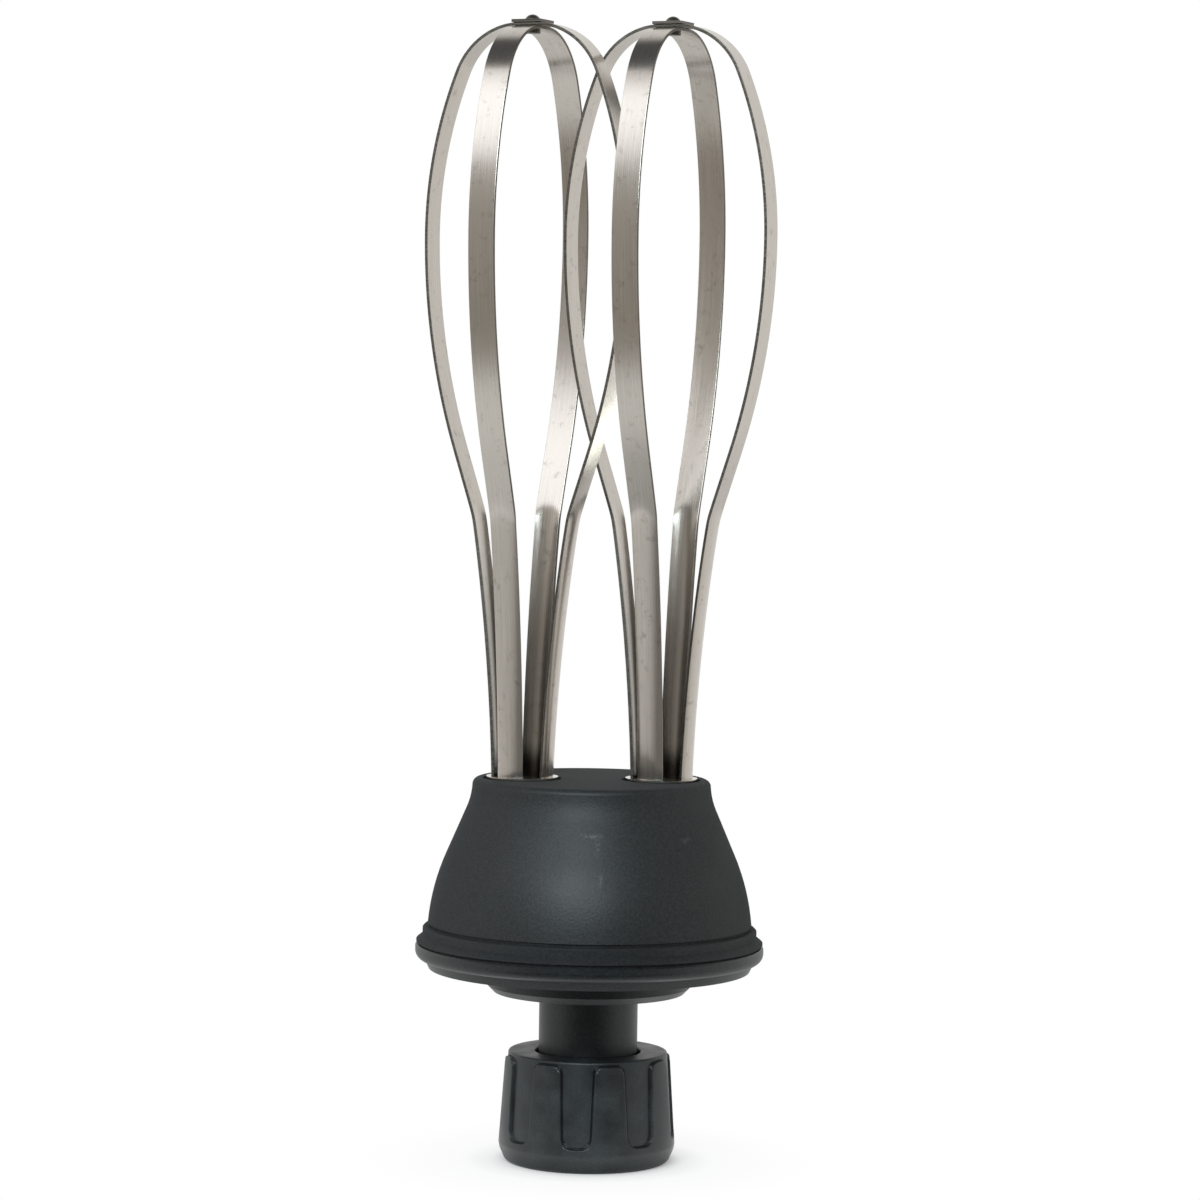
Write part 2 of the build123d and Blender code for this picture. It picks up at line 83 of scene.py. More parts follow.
# glass-filled polypropylene, moulded in a spark-eroded tool: a dull cool black with a fine sparkle of grain
bellFinish = {
    "dark": "#0c0f10", "light": "#202526", "toneSpan": (0.36, 0.68),   # grain levels that take the two colours
    "grainMm": 0.46, "grainDepthMm": 0.075, "grainBump": 0.55,   # real grit 0.15 mm, drawn coarser to show
    "cloudMm": 22.0, "cloudDepth": 0.1, "cloudSpan": (0.3, 0.7),
    "roughness": 0.48, "smoother": 0.05, "rougher": 0.06,   # the clouds change the roughness by this much
    "glance": 0.45, "ior": 1.49, "specular": 0.5,
    "scuff": "#626a6b", "scuffDepth": 0.6, "scuffCore": 0.1, "scuffGrainMm": 0.8, "scuffSpan": (0.38, 0.72),
    "scuffFrontMm": -30.0, "scuffReachMm": 20.0,   # keeps the scuffs on the front wall
    "scuffs": [   # x, z, half width and half height in mm
        (0.2, 73.4, 3.4, 0.8), (1.4, 71.4, 0.8, 2.6), (19.9, 72.1, 1.7, 0.9), (2.2, 64.6, 0.8, 1.7),
    ],
}

# the cover is the same plastic from the smoother half of the tool: a little glossier and not scuffed
coverFinish = dict(bellFinish, grainDepthMm=0.04, roughness=0.38, glance=0.0, scuffs=[])

# the nut is the same plastic from a stoned tool: faint flow clouds and a soft sheen where hands have rubbed
nutFinish = dict(
    bellFinish, dark="#171b1c", light="#24292a", grainMm=0.3, grainDepthMm=0.012,   # real grit 0.08 mm, coarser
    cloudMm=5.0, cloudDepth=0.4, roughness=0.42, glance=0.0, specular=0.45, scuffs=[])


def mouldedPolypropylene(name, look):
    material, tree = startMaterial(name)
    place = addNode(tree, "ShaderNodeTexCoord")
    grain = addNode(tree, "ShaderNodeTexNoise", {
        "Scale": 1 / (look["grainMm"] * mm), "Detail": 2.0, "Roughness": 0.6},
        {"Vector": place.outputs["Object"]})
    cloud = addNode(tree, "ShaderNodeTexNoise", {"Scale": 1 / (look["cloudMm"] * mm), "Detail": 3.0},
                    {"Vector": place.outputs["Object"]})
    darkAt, lightAt = look["toneSpan"]
    speckle = setRamp(addNode(tree, "ShaderNodeValToRGB", links={"Fac": grain.outputs["Fac"]}),
                      [(darkAt, hexColour(look["dark"])), (lightAt, hexColour(look["light"]))])
    thin, thick = look["cloudSpan"]
    shade = addNode(tree, "ShaderNodeMapRange", {
        "From Min": thin, "From Max": thick, "To Min": 1 - look["cloudDepth"],
        "To Max": 1 + look["cloudDepth"]}, {"Value": cloud.outputs["Fac"]})
    tone = addNode(tree, "ShaderNodeMix", {"data_type": "RGBA", "blend_type": "MULTIPLY", "Factor": 1.0},
                   {6: speckle.outputs[0], 7: shade.outputs[0]})
    colour = tone.outputs[2]
    for x, z, wide, high in look["scuffs"]:
        spot = addNode(tree, "ShaderNodeMapping", {
            "vector_type": "TEXTURE", "Location": (x * mm, look["scuffFrontMm"] * mm, z * mm),
            "Scale": (wide * mm, look["scuffReachMm"] * mm, high * mm)}, {"Vector": place.outputs["Object"]})
        reach = addNode(tree, "ShaderNodeVectorMath", {"operation": "LENGTH"}, {0: spot.outputs[0]})
        fade = addNode(tree, "ShaderNodeMapRange", {
            "From Min": 1.0, "From Max": look["scuffCore"], "To Min": 0.0, "To Max": look["scuffDepth"]},
            {"Value": reach.outputs["Value"]})
        broken = addNode(tree, "ShaderNodeTexNoise", {"Scale": 1 / (look["scuffGrainMm"] * mm), "Detail": 4.0},
                         {"Vector": place.outputs["Object"]})
        bare, rubbedAt = look["scuffSpan"]
        patch = addNode(tree, "ShaderNodeMapRange", {"From Min": bare, "From Max": rubbedAt},
                        {"Value": broken.outputs["Fac"], "To Max": fade.outputs[0]})
        rubbed = addNode(tree, "ShaderNodeMix", {"data_type": "RGBA", 7: hexColour(look["scuff"])},
                         {0: patch.outputs[0], 6: colour})
        colour = rubbed.outputs[2]
    gloss = addNode(tree, "ShaderNodeMapRange", {
        "From Min": thin, "From Max": thick, "To Min": look["roughness"] - look["smoother"],
        "To Max": look["roughness"] + look["rougher"]}, {"Value": cloud.outputs["Fac"]})
    bump = addNode(tree, "ShaderNodeBump", {
        "Strength": look["grainBump"], "Distance": look["grainDepthMm"] * mm}, {"Height": grain.outputs["Fac"]})
    facing = addNode(tree, "ShaderNodeLayerWeight", {"Blend": 0.5})   # grain hides the gloss at a glancing look
    dull = addNode(tree, "ShaderNodeMath", {"operation": "MULTIPLY_ADD", 1: look["glance"]},
                   {0: facing.outputs["Facing"], 2: gloss.outputs[0]})
    shader = addNode(tree, "ShaderNodeBsdfPrincipled", {
        "distribution": "GGX", "IOR": look["ior"], "Specular IOR Level": look["specular"]},
        {"Base Color": colour, "Roughness": dull.outputs[0], "Normal": bump.outputs[0]})
    endMaterial(tree, shader)
    return material


# 1.4301 stainless strip, cold rolled and brushed along its length: warm grey with long fine streaks
stripFinish = {
    "dark": "#b6afa6", "light": "#cec8c0", "toneSpan": (0.3, 0.7),
    "streakMm": 0.11, "streakRunMm": 26.0, "streakSpan": (0.25, 0.75),   # real lines 0.03 mm, drawn coarser
    "stain": "#7d7368", "stainMm": 2.4, "stainSpan": (0.57, 0.75), "stainDepth": 0.5,
    "roughness": 0.22, "roughSpread": 0.03, "bumpMm": 0.002, "bump": 0.2,
    "paintedShade": "#241f1a",   # painted shade on the inner faces of the legs, which darken towards the roots
    "shadeBands": [(140.0, 110.0, 0.38), (90.5, 85.0, 0.85)],   # top and bottom in mm, depth
}


def brushedStrip(name, look, shadedInside):
    material, tree = startMaterial(name)
    run = addNode(tree, "ShaderNodeUVMap", {"uv_map": "stripRun"})   # centimetres across and along the strip
    lines = addNode(tree, "ShaderNodeMapping", {
        "Scale": (mmPerCm / look["streakMm"], mmPerCm / look["streakRunMm"], 1.0)}, {"Vector": run.outputs[0]})
    streak = addNode(tree, "ShaderNodeTexNoise", {"Scale": 1.0, "Detail": 3.0, "Roughness": 0.65},
                     {"Vector": lines.outputs[0]})
    place = addNode(tree, "ShaderNodeTexCoord")
    stain = addNode(tree, "ShaderNodeTexNoise", {
        "Scale": 1 / (look["stainMm"] * mm), "Detail": 4.0, "Roughness": 0.7},
        {"Vector": place.outputs["Object"]})
    darkAt, lightAt = look["toneSpan"]
    metal = setRamp(addNode(tree, "ShaderNodeValToRGB", links={"Fac": streak.outputs["Fac"]}),
                    [(darkAt, hexColour(look["dark"])), (lightAt, hexColour(look["light"]))])
    cleanAt, stainedAt = look["stainSpan"]
    spots = addNode(tree, "ShaderNodeMapRange", {
        "From Min": cleanAt, "From Max": stainedAt, "To Min": 0.0, "To Max": look["stainDepth"]},
        {"Value": stain.outputs["Fac"]})
    tone = addNode(tree, "ShaderNodeMix", {"data_type": "RGBA", 7: hexColour(look["stain"])},
                   {0: spots.outputs[0], 6: metal.outputs[0]})
    colour = tone.outputs[2]
    # painted shade: the inner faces darken downward, lightly from the crease down and deeply at the roots
    if shadedInside:
        up = addNode(tree, "ShaderNodeSeparateXYZ", links={0: place.outputs["Object"]})
        for top, bottom, depth in look["shadeBands"]:
            shadeBand = addNode(tree, "ShaderNodeMapRange", {
                "interpolation_type": "SMOOTHSTEP", "From Min": top * mm, "From Max": bottom * mm,
                "To Max": depth}, {"Value": up.outputs["Z"]})
            shaded = addNode(tree, "ShaderNodeMix", {"data_type": "RGBA", 7: hexColour(look["paintedShade"])},
                            {0: shadeBand.outputs[0], 6: colour})
            colour = shaded.outputs[2]
    fine, coarse = look["streakSpan"]
    rough = addNode(tree, "ShaderNodeMapRange", {
        "From Min": fine, "From Max": coarse, "To Min": look["roughness"] - look["roughSpread"],
        "To Max": look["roughness"] + look["roughSpread"]}, {"Value": streak.outputs["Fac"]})
    bump = addNode(tree, "ShaderNodeBump", {"Strength": look["bump"], "Distance": look["bumpMm"] * mm},
                   {"Height": streak.outputs["Fac"]})
    shader = addNode(tree, "ShaderNodeBsdfPrincipled", {"Metallic": 1.0},
                     {"Base Color": colour, "Roughness": rough.outputs[0], "Normal": bump.outputs[0]})
    endMaterial(tree, shader)
    return material


# turned, drawn or cut metal: rings of tool marks round the axis, each a little rougher than its neighbour
polishedFinish = {   # stainless, polished on the lathe: bright and warm
    "dark": "#bdb7af", "light": "#d6d1ca", "toneSpan": (0.3, 0.7), "markMm": 0.25, "acrossMm": 30.0,
    "roughness": 0.16, "spread": 0.05, "bumpMm": 0.002, "bump": 0.4,
}
turnedFinish = dict(   # plain steel as turned: greyer, with marks that show
    polishedFinish, dark="#a8a49e", light="#c4c0ba", markMm=0.2, roughness=0.28, spread=0.08, bumpMm=0.006)
shearedShadedFinish = dict(   # stainless as sheared or stamped: dull, and darkened as painted shade
    polishedFinish, dark="#57534d", light="#77726b", markMm=0.3, roughness=0.42, spread=0.06, bumpMm=0.004)
springFinish = dict(   # spring steel, hardened in oil: blue-grey
    polishedFinish, dark="#5a5a5c", light="#74747a", markMm=0.5, roughness=0.35, spread=0.08, bumpMm=0.004)


def turnedMetal(name, look):
    material, tree = startMaterial(name)
    place = addNode(tree, "ShaderNodeTexCoord")
    across = 1 / (look["acrossMm"] * mm)
    rings = addNode(tree, "ShaderNodeMapping", {"Scale": (across, across, 1 / (look["markMm"] * mm))},
                    {"Vector": place.outputs["Object"]})
    mark = addNode(tree, "ShaderNodeTexNoise", {"Scale": 1.0, "Detail": 2.0}, {"Vector": rings.outputs[0]})
    darkAt, lightAt = look["toneSpan"]
    metal = setRamp(addNode(tree, "ShaderNodeValToRGB", links={"Fac": mark.outputs["Fac"]}),
                    [(darkAt, hexColour(look["dark"])), (lightAt, hexColour(look["light"]))])
    rough = addNode(tree, "ShaderNodeMapRange", {
        "From Min": darkAt, "From Max": lightAt, "To Min": look["roughness"] - look["spread"],
        "To Max": look["roughness"] + look["spread"]}, {"Value": mark.outputs["Fac"]})
    bump = addNode(tree, "ShaderNodeBump", {"Strength": look["bump"], "Distance": look["bumpMm"] * mm},
                   {"Height": mark.outputs["Fac"]})
    shader = addNode(tree, "ShaderNodeBsdfPrincipled", {"Metallic": 1.0},
                     {"Base Color": metal.outputs[0], "Roughness": rough.outputs[0], "Normal": bump.outputs[0]})
    endMaterial(tree, shader)
    return material


bronzeFinish = {   # sintered bronze soaked in oil: brown-gold, pitted with pores
    "dark": "#6f5534", "light": "#a5834f", "toneSpan": (0.35, 0.65), "poreMm": 0.25, "poreSpan": (0.3, 0.7),
    "roughness": 0.42, "spread": 0.06, "bumpMm": 0.02, "bump": 0.4, "metallic": 1.0, "ior": 1.5,
}
acetalFinish = dict(   # moulded natural acetal: milky white, a little waxy
    bronzeFinish, dark="#dcd9cf", light="#eae8df", poreMm=2.5, roughness=0.36, bumpMm=0.01,
    metallic=0.0, ior=1.48)
rubberFinish = dict(   # nitrile rubber, pressed: dead black with a dusty bloom
    bronzeFinish, dark="#141515", light="#26282a", poreMm=0.6, roughness=0.72, bumpMm=0.015,
    metallic=0.0, ior=1.52)


def grainedBlock(name, look):
    material, tree = startMaterial(name)
    place = addNode(tree, "ShaderNodeTexCoord")
    pore = addNode(tree, "ShaderNodeTexNoise", {"Scale": 1 / (look["poreMm"] * mm), "Detail": 3.0},
                   {"Vector": place.outputs["Object"]})
    darkAt, lightAt = look["toneSpan"]
    tone = setRamp(addNode(tree, "ShaderNodeValToRGB", links={"Fac": pore.outputs["Fac"]}),
                   [(darkAt, hexColour(look["dark"])), (lightAt, hexColour(look["light"]))])
    deep, proud = look["poreSpan"]
    rough = addNode(tree, "ShaderNodeMapRange", {
        "From Min": deep, "From Max": proud, "To Min": look["roughness"] + look["spread"],
        "To Max": look["roughness"] - look["spread"]}, {"Value": pore.outputs["Fac"]})
    bump = addNode(tree, "ShaderNodeBump", {"Strength": look["bump"], "Distance": look["bumpMm"] * mm},
                   {"Height": pore.outputs["Fac"]})
    shader = addNode(tree, "ShaderNodeBsdfPrincipled", {"Metallic": look["metallic"], "IOR": look["ior"]},
                     {"Base Color": tone.outputs[0], "Roughness": rough.outputs[0], "Normal": bump.outputs[0]})
    endMaterial(tree, shader)
    return material


bellPlastic = mouldedPolypropylene("spark_grained_polypropylene", bellFinish)
coverPlastic = mouldedPolypropylene("fine_grained_polypropylene", coverFinish)
nutPlastic = mouldedPolypropylene("stoned_polypropylene", nutFinish)
stripSteel = brushedStrip("brushed_stainless_strip", stripFinish, False)
# the inner faces of the legs carry painted shade
innerShadedSteel = brushedStrip("brushed_stainless_painted_shade", stripFinish, True)
polishedSteel = turnedMetal("polished_stainless", polishedFinish)
turnedSteel = turnedMetal("turned_steel", turnedFinish)
springSteel = turnedMetal("oil_hardened_spring_steel", springFinish)
shearedShadedSteel = turnedMetal("sheared_stainless_painted_shade", shearedShadedFinish)
bushBronze = grainedBlock("sintered_bronze", bronzeFinish)
gearAcetal = grainedBlock("moulded_acetal", acetalFinish)
sealRubber = grainedBlock("pressed_nitrile_rubber", rubberFinish)
print("materials made")

cadFinishes = {
    bellPlastic: ["gear_housing"],
    coverPlastic: ["gear_cover"],
    nutPlastic: ["coupling_nut", "drive_coupling"],
    polishedSteel: ["left_ferrule", "right_ferrule"],
    shearedShadedSteel: ["left_tip_plate", "right_tip_plate", "left_tip_rivet", "right_tip_rivet"],
    turnedSteel: ["left_spindle", "right_spindle", "drive_pinion_shaft", "coupling_pin", "cover_screws"],
    springSteel: ["nut_retaining_ring", "left_gear_clip", "right_gear_clip"],
    bushBronze: ["left_upper_bush", "right_upper_bush", "left_lower_bush", "right_lower_bush",
                 "upper_drive_bush", "lower_drive_bush"],
    gearAcetal: ["left_cluster_gear", "right_gear"],
    sealRubber: ["cover_gasket", "left_lip_seal", "right_lip_seal"],
    stripSteel: ["left_upper_strip", "left_lower_strip", "right_upper_strip", "right_lower_strip"],
}
for finish, names in cadFinishes.items():
    for name in names:
        slots = cadNodes[name].data.materials
        if len(slots) == 0:
            slots.append(finish)
        for i in range(len(slots)):
            slots[i] = finish
print("CAD nodes dressed:", sum(len(names) for names in cadFinishes.values()))


def makePiece(name, points, faces, finish, uvs=None):   # points in mm
    mesh = bpy.data.meshes.new(name)
    mesh.from_pydata([Vector(p) * mm for p in points], [], faces)
    mesh.polygons.foreach_set("use_smooth", [True] * len(mesh.polygons))
    if uvs:
        layer = mesh.uv_layers.new(name="stripRun")
        for loop in mesh.loops:
            layer.data[loop.index].uv = uvs[loop.vertex_index]
    mesh.materials.append(finish)
    piece = bpy.data.objects.new(name, mesh)
    scene.collection.objects.link(piece)
    return piece


# whisk strips: flat spring strip above the crease, rolled into a gutter below it; mm and degrees
strip = {
    "width": 6.0, "thickness": 0.7, "belly": 199.4, "bellyRadius": 23.7, "sideRadius": 92.0,
    "flareRadius": 146.0, "flareAngle": 18.5, "crease": 141.1, "creaseRound": 0.22,
    "stemRadius": 6.7, "stemLean": 1.7, "root": 83.2, "bottom": 78.2, "crossingFlat": 1.8,
    "upperApex": 244.6, "lowerApex": 243.85, "upperTurn": -24.5, "lowerTurn": 65.5,
    "axes": {"left": -15.0, "right": 15.0},
    "edgeRound": 0.12, "edgeSteps": 2, "edgeAngle": 50,
    "columns": 16, "stemRows": 26, "stemStep": 2.0,
    "creaseRows": 41, "creaseFrom": 129.4, "creaseStep": 0.35,   # close rows, where the gutter opens
    "runRows": 9, "runFrom": 144.0, "flareRows": 24, "sideRows": 36, "tipRows": 40, "flatRows": 6,
}


def loopSide(apex):
    # outer face of half a loop, from the leg's bottom to the crossing: kind, radius, height, gutter radius
    flare = math.radians(strip["flareAngle"])
    runTop = strip["belly"] - strip["flareRadius"] * math.sin(flare)
    runTopRadius = strip["bellyRadius"] - strip["flareRadius"] * (1 - math.cos(flare))

    def flat(z):
        return runTopRadius - (runTop - z) * math.tan(flare)

    lean = math.radians(strip["stemLean"])
    out = flat(strip["crease"]) - strip["stemRadius"]
    up = strip["crease"] - strip["root"]
    turn = math.atan2(out, up) - lean
    bend = math.hypot(out, up) / (2 * math.sin(turn))
    centreRadius = strip["stemRadius"] + bend * math.cos(lean)
    centreHeight = strip["root"] - bend * math.sin(lean)

    def stem(z):
        if z < strip["root"]:
            return strip["stemRadius"] - (strip["root"] - z) * math.tan(lean)
        return centreRadius - math.sqrt(bend ** 2 - (z - centreHeight) ** 2)

    heights = [strip["bottom"] + i * strip["stemStep"] for i in range(strip["stemRows"])]
    heights += [strip["creaseFrom"] + i * strip["creaseStep"] for i in range(strip["creaseRows"])]
    runFrom, runRows = strip["runFrom"], strip["runRows"]
    heights += [runFrom + i * (runTop - runFrom) / runRows for i in range(runRows)]
    rows = [("leg", flat(z), z, stem(z)) for z in heights]
    for i in range(strip["flareRows"]):
        a = -flare + flare * i / strip["flareRows"]
        rows.append(("loop", strip["bellyRadius"] - strip["flareRadius"] * (1 - math.cos(a)),
                     strip["belly"] + strip["flareRadius"] * math.sin(a), 0))
    reach = strip["bellyRadius"] - strip["crossingFlat"]
    rise = apex - strip["belly"]
    side = strip["sideRadius"]
    tip = (side ** 2 - (side - reach) ** 2 - rise ** 2) / (2 * (side - rise))   # meets the side arc smoothly
    tipCentre = (strip["crossingFlat"], apex - tip)
    shoulder = math.atan2(tipCentre[1] - strip["belly"], tipCentre[0] - strip["bellyRadius"] + side)
    for i in range(strip["sideRows"]):
        a = shoulder * i / strip["sideRows"]
        rows.append(("loop", strip["bellyRadius"] - side * (1 - math.cos(a)),
                     strip["belly"] + side * math.sin(a), 0))
    for i in range(strip["tipRows"] + 1):
        a = shoulder + (math.pi / 2 - shoulder) * i / strip["tipRows"]
        rows.append(("loop", tipCentre[0] + tip * math.cos(a), tipCentre[1] + tip * math.sin(a), 0))
    flatRows = strip["flatRows"]
    rows += [("loop", strip["crossingFlat"] * (1 - i / flatRows), apex, 0) for i in range(1, flatRows)]
    return rows


def stripPiece(name, axisX, turn, apex, body, node):
    half = loopSide(apex)
    turn = math.radians(turn)
    outward = Vector((math.cos(turn), math.sin(turn), 0))
    across = Vector((-math.sin(turn), math.cos(turn), 0))
    rows = [(1, r) for r in half] + [(1, ("loop", 0.0, apex, 0))] + [(-1, r) for r in reversed(half)]
    columns = strip["columns"]
    points, uvs, faces = [], [], []
    run = 0.0
    last = None
    for sign, (kind, radius, z, stemRadius) in rows:
        here = Vector((sign * radius, z))
        run += (here - last).length if last else 0.0
        last = here
        for j in range(columns + 1):
            u = strip["width"] * (j / columns - 0.5)
            reach = radius
            if kind == "leg":   # the further out of flat strip and gutter, blended over the crease
                gutter = math.sqrt(stemRadius ** 2 - u * u)
                gap = radius - gutter
                reach = (radius + gutter + math.sqrt(gap * gap + strip["creaseRound"] ** 2)) / 2
            points.append(Vector((axisX, 0, z)) + outward * (sign * reach) + across * u)
            uvs.append((u / mmPerCm, run / mmPerCm))
    for i in range(len(rows) - 1):
        for j in range(columns):
            a = i * (columns + 1) + j
            faces.append((a, a + 1, a + columns + 2, a + columns + 1))
    piece = makePiece(name, points, faces, stripSteel, uvs)
    piece.data.materials.append(shearedShadedSteel)
    piece.data.materials.append(innerShadedSteel)
    sheet = piece.modifiers.new("sheetThickness", "SOLIDIFY")
    sheet.thickness = strip["thickness"] * mm
    sheet.offset = -1
    sheet.use_even_offset = True
    sheet.material_offset_rim = 1   # cut edges, in the steel darkened as painted shade
    sheet.material_offset = 2   # inner face
    edge = piece.modifiers.new("rolledEdge", "BEVEL")
    edge.width = strip["edgeRound"] * mm
    edge.segments = strip["edgeSteps"]
    edge.limit_method = "ANGLE"
    edge.angle_limit = math.radians(strip["edgeAngle"])
    edge.harden_normals = True
    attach(piece, body)
    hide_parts(node)


for sideName, axisX in strip["axes"].items():
    stripPiece(sideName + "UpperStrip", axisX, strip["upperTurn"], strip["upperApex"],
               sideName + "_whisk", sideName + "_upper_strip")
    stripPiece(sideName + "LowerStrip", axisX, strip["lowerTurn"], strip["lowerApex"],
               sideName + "_whisk", sideName + "_lower_strip")
print("whisk strips made")


# coupling nut: tapered barrel with eight U-shaped flutes between its grip pads; mm and degrees
nut = {
    "height": 23.9, "topRadius": 17.8, "topRound": 0.45, "ringRadius": 19.1, "ringRise": 3.4,
    "ringSoft": 0.13, "ringSoftHalf": 0.3, "footRadius": 17.6, "footRound": 0.9,
    "fluteCount": 8, "fluteTurn": -6.75, "fluteDepth": 0.65, "topWidth": 7.4, "bottomWidth": 6.6,
    "fluteFoot": 5.4, "fluteCorner": 2.4, "padTopGap": 1.0, "padCorner": 1.5, "edgeSoft": 0.11,
    "groove": 0.32, "grooveIn": 0.17, "grooveHalf": 0.1,
    "bore": 14.5, "mouth": 0.8, "boreTop": 15.6, "ringRoom": 12.9, "shoulderBottom": 18.4,
    "neckHole": 9.9, "shoulderTop": 21.9, "counterbore": 11.45, "front": -90.0,
    "innerSoft": 0.05, "lipRound": 0.3, "lipMiddle": 0.08, "mouthSoft": 0.04, "mouthLow": 0.02, "mouthOut": 0.1,
    "topFaceRows": [16.2, 14.5, 12.2], "counterboreRow": 22.6, "boreRow": 8.0, "footFaceRow": 16.6,
    "footRows": [0.0, 0.03, 0.08, 0.16, 0.27, 0.42, 0.6, 0.85, 1.2, 2.0, 2.6, 3.0, 3.2, 3.4, 3.6, 3.8,
                 4.1, 4.5],
    "barrelRows": [(5.0, 0.09, 33), (8.0, 0.8, 16), (20.9, 0.1, 5), (21.4, 0.08, 24)],   # from, step, count
    "topRows": [23.4, 23.6, 23.74, 23.83, 23.88],
    "floorCells": 7, "wallCells": 12, "padCells": 8, "wallIn": 0.45,   # cells across half a sector
}


def fluteHalf(z):
    low = nut["fluteFoot"] + nut["fluteCorner"]
    high = nut["height"] - nut["padTopGap"] - nut["padCorner"]
    t = min(max((z - low) / (high - low), 0), 1)
    return (nut["bottomWidth"] + (nut["topWidth"] - nut["bottomWidth"]) * t) / 2


def fluteCut(x, z):
    # depth of a flute or of the plain band over the pads, 0 on a pad, with a groove at the foot of the wall
    half = fluteHalf(z)
    corner = nut["fluteCorner"]
    low = nut["fluteFoot"] + corner
    if z >= low:
        inFlute = abs(x) - half
    else:
        inFlute = math.hypot(max(abs(x) - half + corner, 0), low - z) - corner
    inBand = nut["height"] - nut["padTopGap"] - z
    r = nut["padCorner"]
    d = max(r, min(inFlute, inBand)) - math.hypot(max(r - inFlute, 0), max(r - inBand, 0))
    t = min(max((nut["edgeSoft"] - d) / (2 * nut["edgeSoft"]), 0), 1)
    line = math.exp(-((d + nut["grooveIn"]) / nut["grooveHalf"]) ** 2)
    return nut["fluteDepth"] * t * t * (3 - 2 * t) + nut["groove"] * line


def barrelRadius(z):   # before the flutes, with softened corners at the foot, the ring and the top
    if z < nut["ringRise"]:
        r = nut["footRadius"] + (nut["ringRadius"] - nut["footRadius"]) * z / nut["ringRise"]
    else:
        t = (z - nut["ringRise"]) / (nut["height"] - nut["ringRise"])
        r = nut["ringRadius"] + (nut["topRadius"] - nut["ringRadius"]) * t
    r -= nut["ringSoft"] * math.exp(-((z - nut["ringRise"]) / nut["ringSoftHalf"]) ** 2)
    foot = max(nut["footRound"] - z, 0) / nut["footRound"]
    top = max(z - (nut["height"] - nut["topRound"]), 0) / nut["topRound"]
    r -= nut["footRound"] * (1 - math.sqrt(max(1 - foot ** 2, 0)))
    r -= nut["topRound"] * (1 - math.sqrt(max(1 - top ** 2, 0)))
    return r


def nutInside():   # radius and height of each row, from the top face down through the bore to the foot
    top, soft = nut["height"], nut["innerSoft"]
    counterbore, neckHole = nut["counterbore"], nut["neckHole"]
    ringRoom, bore, mouth = nut["ringRoom"], nut["bore"], nut["mouth"]
    shelf, roof, boreTop = nut["shoulderTop"], nut["shoulderBottom"], nut["boreTop"]
    return [(r, top) for r in nut["topFaceRows"]] + [
        (counterbore + nut["lipRound"], top), (counterbore + nut["lipMiddle"], top - nut["lipMiddle"]),
        (counterbore, top - nut["lipRound"]), (counterbore, nut["counterboreRow"]),
        (counterbore, shelf + soft), (counterbore - soft, shelf),
        (neckHole + soft, shelf), (neckHole, shelf - soft), (neckHole, roof + soft), (neckHole + soft, roof),
        (ringRoom - soft, roof), (ringRoom, roof - soft), (ringRoom, boreTop + soft),
        (ringRoom + soft, boreTop), (bore - soft, boreTop), (bore, boreTop - soft),
        (bore, nut["boreRow"]), (bore, mouth + soft), (bore + nut["mouthSoft"], mouth - nut["mouthSoft"]),
        (bore + mouth, nut["mouthLow"]), (bore + mouth + nut["mouthOut"], 0.0), (nut["footFaceRow"], 0.0),
    ]


def couplingNut():
    sector = 360 / nut["fluteCount"]
    heights = nut["footRows"] + [z + i * step for z, step, count in nut["barrelRows"] for i in range(count)]
    barrel = [(barrelRadius(z), z) for z in heights + nut["topRows"]]
    halfCells = nut["floorCells"] + nut["wallCells"] + nut["padCells"]
    points, faces = [], []
    for row, (r, z) in enumerate(barrel + nutInside()):
        outside = row < len(barrel)
        halfSector = r * math.sin(math.radians(sector / 2))
        if outside:
            wallFrom = fluteHalf(z) - nut["wallIn"]
            wallTo = fluteHalf(z) + nut["edgeSoft"]
            spans = [(0, wallFrom, nut["floorCells"]), (wallFrom, wallTo, nut["wallCells"]),
                     (wallTo, halfSector, nut["padCells"])]
            across = [a + (b - a) * i / n for a, b, n in spans for i in range(n)]
        else:
            across = [halfSector * i / halfCells for i in range(halfCells)]
        sectorAcross = [-halfSector] + [-x for x in reversed(across[1:])] + across
        for flute in range(nut["fluteCount"]):
            centre = nut["front"] + nut["fluteTurn"] + flute * sector
            for x in sectorAcross:
                angle = math.radians(centre) + math.asin(max(min(x / r, 1), -1))
                reach = r - fluteCut(x, z) if outside else r
                points.append((reach * math.cos(angle), reach * math.sin(angle), z))
    columns = nut["fluteCount"] * 2 * halfCells
    rows = len(points) // columns
    for i in range(rows):
        here, above = i * columns, (i + 1) % rows * columns   # the last row closes on the first
        for j in range(columns):
            beside = (j + 1) % columns
            faces.append((here + j, here + beside, above + beside, above + j))
    piece = makePiece("couplingNutGrip", points, faces, nutPlastic)
    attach(piece, "nut")
    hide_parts("coupling_nut")


couplingNut()
print("coupling nut made")


